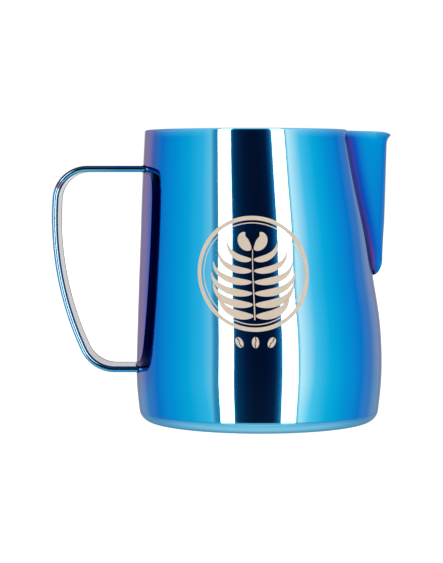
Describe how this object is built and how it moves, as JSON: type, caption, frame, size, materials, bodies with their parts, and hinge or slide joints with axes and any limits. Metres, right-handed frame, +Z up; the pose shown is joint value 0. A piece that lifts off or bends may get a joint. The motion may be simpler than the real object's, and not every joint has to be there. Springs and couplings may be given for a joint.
{
  "type": "milk frothing pitcher",
  "caption": "Mirror-blue steel milk frothing pitcher with a V spout, a curved strap handle, a wide round base and a slightly narrower open mouth.",
  "frame": {"origin": "middle of the flat underside, on the table plane", "axes": "+Z up, +X towards the pouring spout (handle on -X), +Y to the left of the spout when looking along +X; XZ is the symmetry plane"},
  "size_m": [0.1237, 0.09, 0.106],
  "materials": {
    "blue_steel": "mirror polished stainless steel with a blue vapour-deposited coating outside, satin bare steel inside",
    "blue_steel_spout": "same coated steel as the wall",
    "blue_steel_base": "same coated steel as the wall, satin underside",
    "blue_steel_handle": "polished strap with the same blue coating",
    "weld_blue": "dressed weld under the coating",
    "weld_bare": "brushed weld on the milk side"
  },
  "bodies": {
    "root": {"body_shell": "blue_steel", "spout": "blue_steel_spout", "base_pan": "blue_steel_base", "handle_strap": "blue_steel_handle", "handle_upper_weld": "weld_blue", "handle_lower_weld": "weld_blue", "base_seam_weld": "weld_bare", "spout_seam_weld": "weld_bare"}
  },
  "joints": []
}
